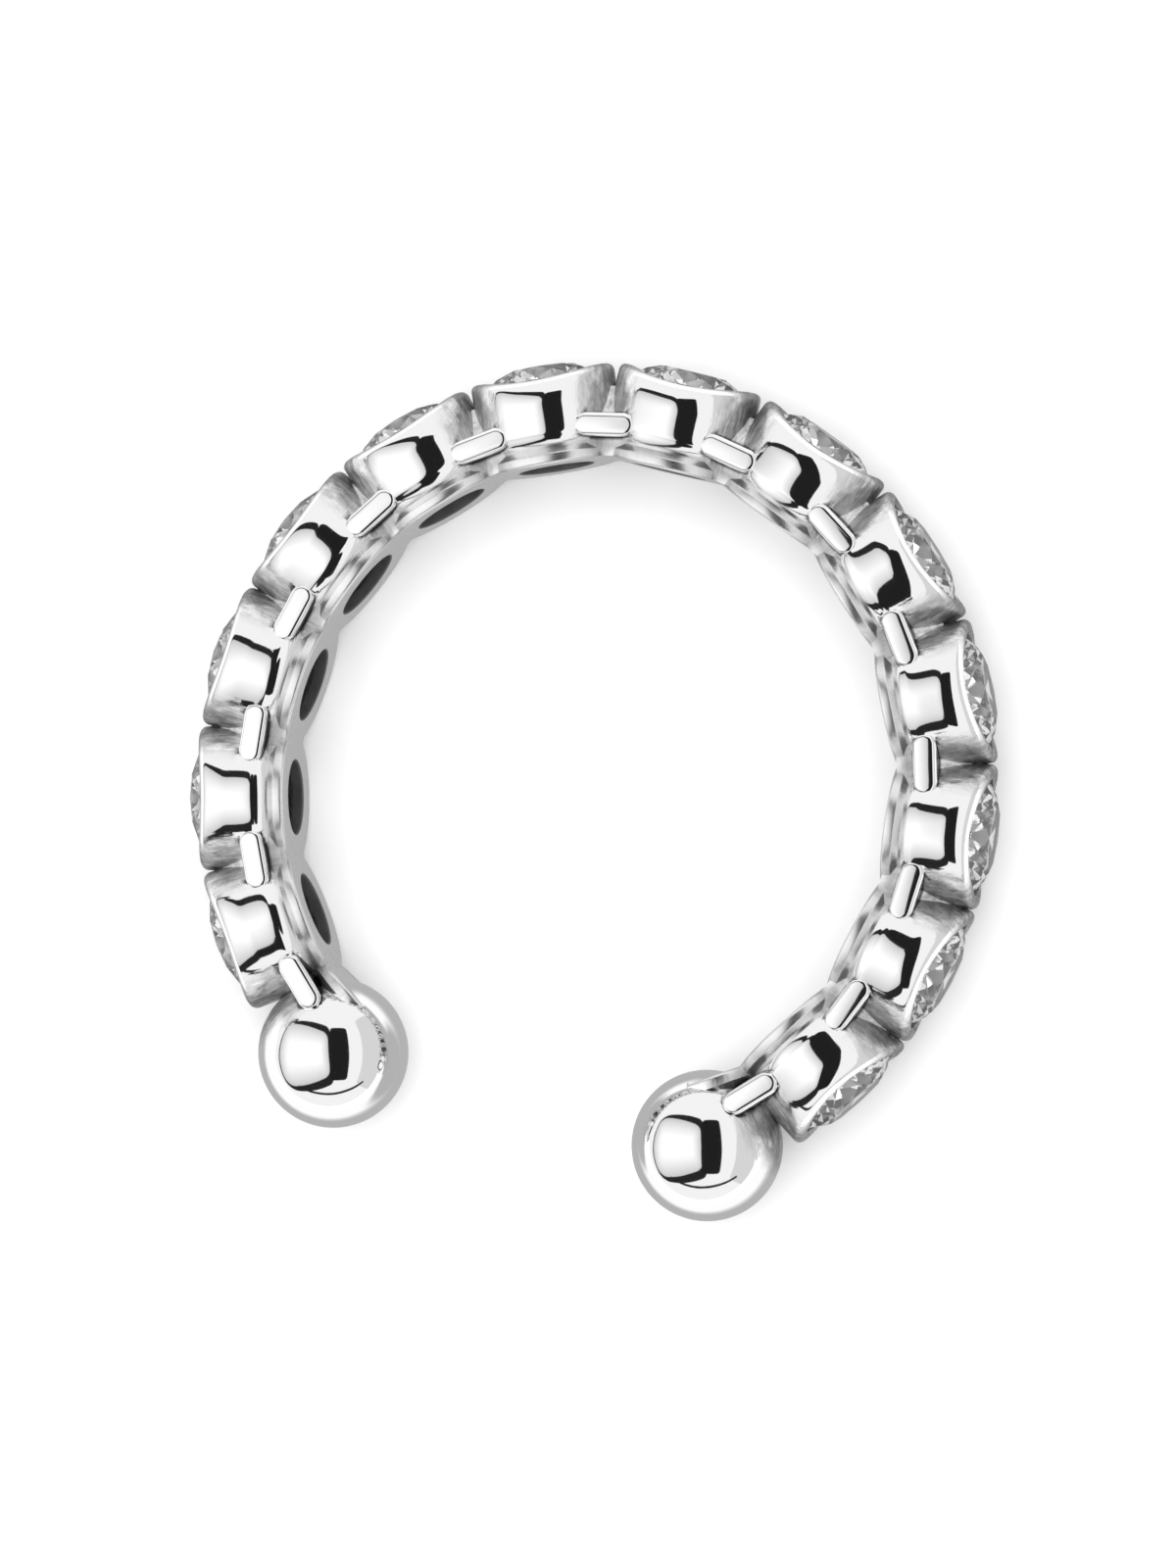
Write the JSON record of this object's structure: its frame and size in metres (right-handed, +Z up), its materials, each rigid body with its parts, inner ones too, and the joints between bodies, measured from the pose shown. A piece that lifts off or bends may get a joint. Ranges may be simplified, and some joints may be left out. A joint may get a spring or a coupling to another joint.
{
  "type": "ear cuff",
  "caption": "Open hoop ear cuff: round bezel-set stones side by side, bridged by small bars, with a ball on each end.",
  "frame": {"origin": "centre of the footprint, on the surface that the end balls lie on", "axes": "+Z up along the hoop's axis, +Y towards the crown opposite the opening, +X across the hoop"},
  "size_m": [0.0118, 0.012, 0.0022],
  "materials": {
    "silver": "polished silver, rougher in the crevices between the cups",
    "stone": "clear faceted stone"
  },
  "bodies": {
    "root": {"cuff_frame": "silver", "stone_01": "stone", "stone_02": "stone", "stone_03": "stone", "stone_04": "stone", "stone_05": "stone", "stone_06": "stone", "stone_07": "stone", "stone_08": "stone", "stone_09": "stone", "stone_10": "stone", "stone_11": "stone", "stone_12": "stone", "stone_13": "stone"}
  },
  "joints": []
}
